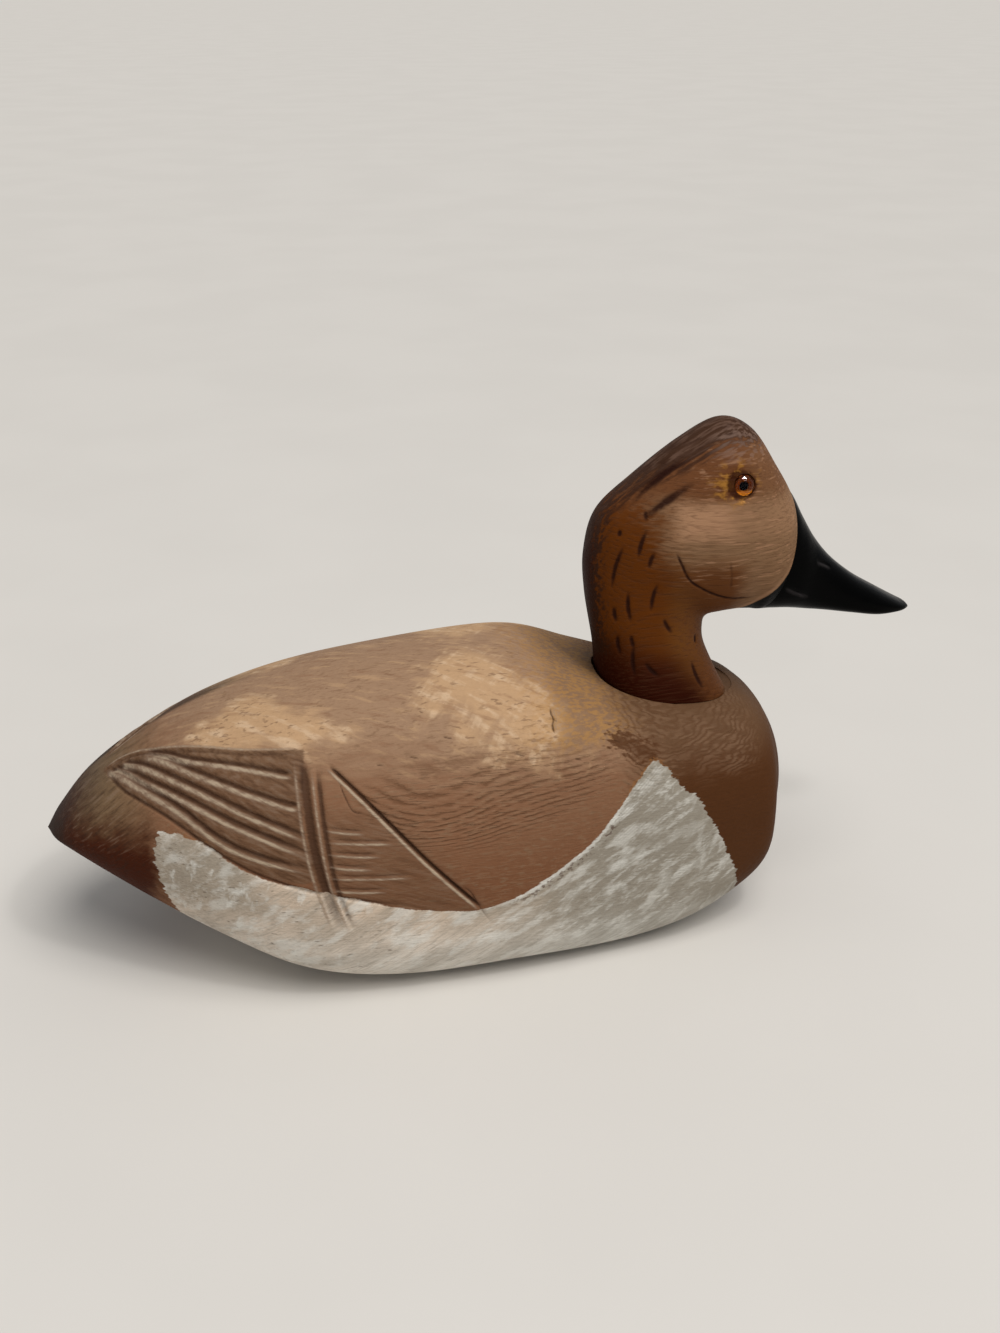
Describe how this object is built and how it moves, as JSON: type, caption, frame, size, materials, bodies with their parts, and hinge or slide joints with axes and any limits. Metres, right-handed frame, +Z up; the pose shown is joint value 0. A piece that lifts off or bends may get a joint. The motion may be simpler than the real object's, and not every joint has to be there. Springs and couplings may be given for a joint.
{
  "type": "carved wooden duck decoy",
  "caption": "Painted wooden duck carving with a flat underside: a rounded body block, a raised head with a long bill seated on its shoulders, and inset glass eyes.",
  "frame": {"origin": "middle of the bounding box at the height of the flat underside, which stands at z = 0", "axes": "+X from tail to bill, +Y to the bird's left, +Z up"},
  "size_m": [0.403, 0.158, 0.2321],
  "materials": {
    "body_paint": "old hand-brushed oil paint, brown back and breast with pale grey flanks, dull and worn",
    "head_paint": "old hand-brushed oil paint, reddish brown with a dark cap and a glossy black bill",
    "eye_glass": "polished glass, black pupil in an amber ring"
  },
  "bodies": {
    "root": {"body": "body_paint", "head": "head_paint", "eye_right": "eye_glass", "eye_left": "eye_glass"}
  },
  "joints": []
}
